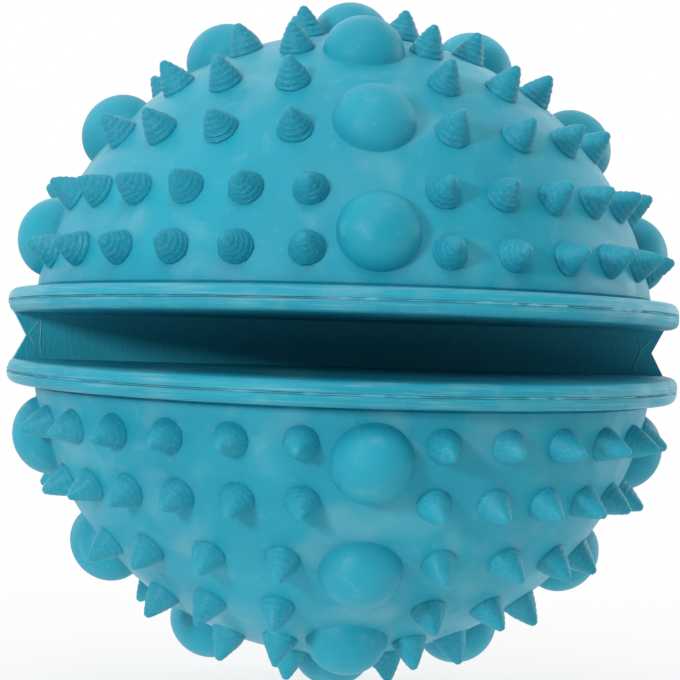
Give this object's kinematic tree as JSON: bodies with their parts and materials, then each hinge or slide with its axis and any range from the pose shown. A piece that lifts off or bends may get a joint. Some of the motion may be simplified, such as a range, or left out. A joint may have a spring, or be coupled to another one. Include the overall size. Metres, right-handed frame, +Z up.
{
  "type": "treat ball",
  "caption": "Rubber treat ball with spikes and domes on bonded half shells and a wide mouth across the front; a web behind the mouth lets the halves flex on each other.",
  "frame": {"origin": "centre of the ball, midway between the jaws", "axes": "+Z up through the upper shell's crown, -Y out of the mouth, +X to the right when looking into the mouth"},
  "size_m": [0.08, 0.08, 0.0818],
  "materials": {
    "shell_rubber": "matte moulded natural rubber",
    "jaw_rubber": "matte moulded natural rubber",
    "web_rubber": "matte moulded natural rubber"
  },
  "bodies": {
    "lower_half": {"lower_shell": "shell_rubber", "lower_jaw": "jaw_rubber", "hinge_web": "web_rubber"},
    "upper_half": {"upper_shell": "shell_rubber", "upper_jaw": "jaw_rubber"}
  },
  "joints": [
    {"name": "mouth_bite", "type": "hinge", "parent": "lower_half", "child": "upper_half", "pos_m": [0, 0.0165, 0], "axis": [1, 0, 0], "range_deg": [-4, 7], "stiffness_Nm_per_rad": 8, "deforming": ["hinge_web"]}
  ]
}
